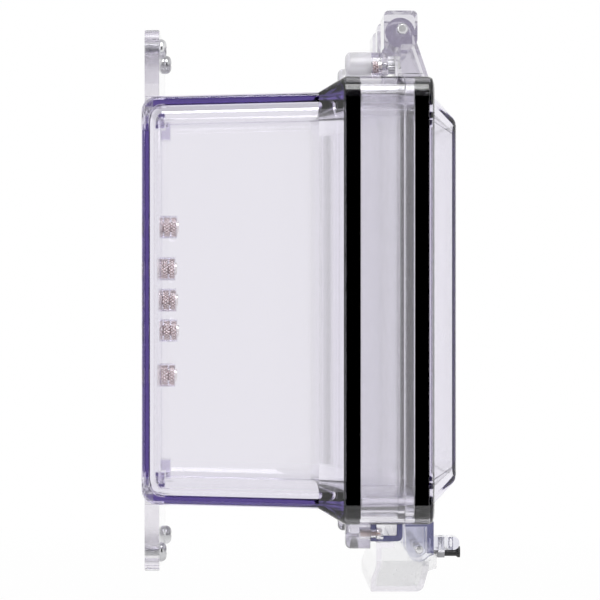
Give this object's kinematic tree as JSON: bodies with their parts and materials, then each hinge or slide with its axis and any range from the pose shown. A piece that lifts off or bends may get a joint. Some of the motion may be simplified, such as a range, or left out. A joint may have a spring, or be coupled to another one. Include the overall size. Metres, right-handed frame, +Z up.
{
  "type": "hinged wall enclosure",
  "caption": "Clear polycarbonate wall box with a flared rim, sealed domed cover on a pinned hinge, long latch lever with lock screw and padlock eye, and mounting feet.",
  "frame": {"origin": "middle of the back face, on the wall", "axes": "+Z up the wall to the hinge, -Y out of the wall to the cover, +X to the right seen from the cover"},
  "size_m": [0.1794, 0.1324, 0.2335],
  "materials": {
    "clear_shell": "clear polycarbonate, deep violet where seen end-on",
    "clear_fittings": "clear moulded polycarbonate",
    "tinted_edge": "clear polycarbonate seen end-on, violet",
    "black_rubber": "smooth black seal",
    "knurled_brass": "knurled brass, pinkish",
    "bright_steel": "bright stainless steel",
    "dark_steel": "dull steel",
    "black_knob": "black cap"
  },
  "bodies": {
    "base": {"base_shell": "clear_shell", "base_seal": "black_rubber", "rim_frame": "clear_fittings", "panel_insert_1": "knurled_brass", "panel_insert_2": "knurled_brass", "panel_insert_3": "knurled_brass", "panel_insert_4": "knurled_brass", "panel_insert_5": "knurled_brass", "hinge_base_leaf": "clear_fittings", "hinge_boss_inserts": "knurled_brass", "hinge_leaf_screws": "bright_steel", "hinge_pin": "bright_steel", "latch_keeper": "tinted_edge", "keeper_screws": "knurled_brass", "mounting_foot_top": "clear_fittings", "mounting_foot_bottom": "clear_fittings", "foot_tongue_screws": "bright_steel", "wall_screws": "bright_steel"},
    "cover": {"cover_shell": "clear_shell", "cover_gasket": "black_rubber", "hinge_cover_leaf": "clear_fittings", "latch_block": "tinted_edge", "latch_pin": "bright_steel"},
    "lever": {"latch_lever": "clear_fittings"},
    "lock": {"lock_screw": "dark_steel", "lock_knob": "black_knob"}
  },
  "joints": [
    {"name": "cover_hinge", "type": "hinge", "parent": "base", "child": "cover", "pos_m": [0, -0.1042, 0.1084], "axis": [-1, 0, 0], "range_deg": [0, 170]},
    {"name": "lever_pivot", "type": "hinge", "parent": "cover", "child": "lever", "pos_m": [0, -0.112, -0.101], "axis": [-1, 0, 0], "range_deg": [0, 60]},
    {"name": "lock_turn", "type": "hinge", "parent": "lever", "child": "lock", "pos_m": [0.009, -0.121, -0.1064], "axis": [0, -1, 0], "continuous": true}
  ]
}
